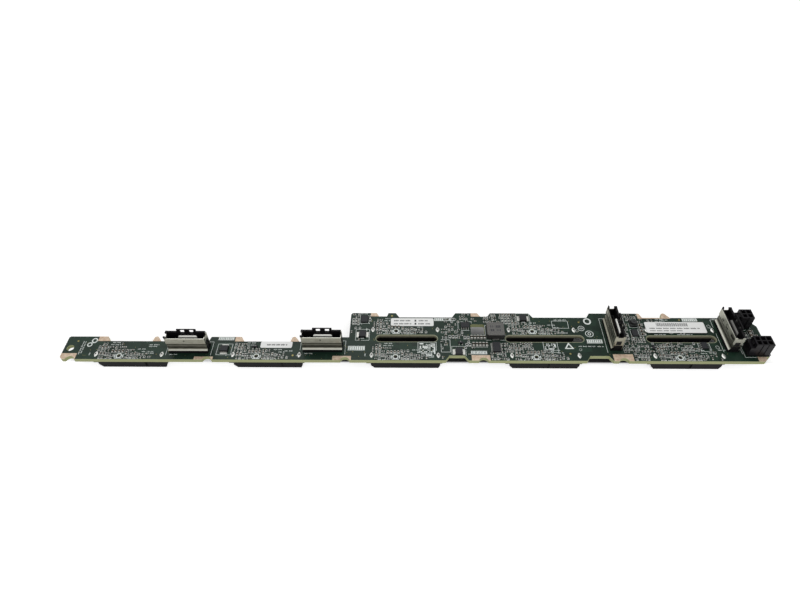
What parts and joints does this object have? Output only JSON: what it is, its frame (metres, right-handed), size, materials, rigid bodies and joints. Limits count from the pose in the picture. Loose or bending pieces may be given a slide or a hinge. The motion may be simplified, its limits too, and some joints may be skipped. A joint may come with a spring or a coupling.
{
  "type": "drive backplane board",
  "caption": "Long narrow circuit board with a taller part at one end, drive receptacles on one face, and shielded data sockets, power headers and small electronic parts on the other.",
  "frame": {"origin": "centre of the bounding box, at the plane of the drive receptacles' end faces", "axes": "+X along the board from its narrow end to the power headers, +Y from the notched front edge to the back edge, +Z from the receptacles towards the cable side"},
  "size_m": [0.3998, 0.036, 0.0243],
  "materials": {
    "solder_mask": "satin dark green solder mask on glass-epoxy board",
    "bare_copper": "dull tan bare contact areas",
    "black_nylon": "matt black glass-filled plastic",
    "gold_contact": "gold-plated contact faces",
    "tinned_shell": "stamped tin-plated sheet",
    "tinned_lead": "tin-plated leads",
    "solder": "bright solder",
    "chip_epoxy": "matt moulded epoxy",
    "ferrite": "ground grey ferrite",
    "ceramic": "tan ceramic",
    "resistor_film": "black glaze",
    "label_paper": "matt white printed label"
  },
  "bodies": {
    "root": {"barcode_label": "label_paper", "board_capacitors": "ceramic", "chip_resistors": "resistor_film", "circuit_board": "solder_mask", "clamp_diode_leads": "tinned_lead", "clamp_diodes": "chip_epoxy", "data_socket_contacts_1": "gold_contact", "data_socket_contacts_2": "gold_contact", "data_socket_contacts_3": "gold_contact", "data_socket_contacts_4": "gold_contact", "data_socket_housing_1": "black_nylon", "data_socket_housing_2": "black_nylon", "data_socket_housing_3": "black_nylon", "data_socket_housing_4": "black_nylon", "data_socket_shell_1": "tinned_shell", "data_socket_shell_2": "tinned_shell", "data_socket_shell_3": "tinned_shell", "data_socket_shell_4": "tinned_shell", "data_socket_springs": "tinned_lead", "filter_capacitors": "ceramic", "gate_driver": "chip_epoxy", "gate_driver_leads": "tinned_lead", "grounding_pads": "bare_copper", "hot_swap_chip": "chip_epoxy", "logic_chip": "chip_epoxy", "logic_chip_leads": "tinned_lead", "lower_receptacle_1": "black_nylon", "lower_receptacle_1_contacts": "gold_contact", "lower_receptacle_2": "black_nylon", "lower_receptacle_2_contacts": "gold_contact", "lower_receptacle_3": "black_nylon", "lower_receptacle_3_contacts": "gold_contact", "lower_receptacle_4": "black_nylon", "lower_receptacle_4_contacts": "gold_contact", "lower_receptacle_5": "black_nylon", "lower_receptacle_5_contacts": "gold_contact", "lower_row_capacitors": "ceramic", "memory_chip": "chip_epoxy", "memory_chip_leads": "tinned_lead", "part_label": "label_paper", "power_header_4way": "black_nylon", "power_header_6way": "black_nylon", "power_header_pins_4way": "tinned_lead", "power_header_pins_6way": "tinned_lead", "power_inductor": "ferrite", "power_inductor_terminals": "tinned_lead", "receptacle_solder_joints": "solder", "regulator_chip": "chip_epoxy", "revision_label": "label_paper", "small_choke": "ferrite", "transistor_leads": "tinned_lead", "transistors": "chip_epoxy", "upper_receptacle_3": "black_nylon", "upper_receptacle_3_contacts": "gold_contact", "upper_receptacle_4": "black_nylon", "upper_receptacle_4_contacts": "gold_contact", "upper_receptacle_5": "black_nylon", "upper_receptacle_5_contacts": "gold_contact", "upper_row_capacitors": "ceramic"}
  },
  "joints": []
}
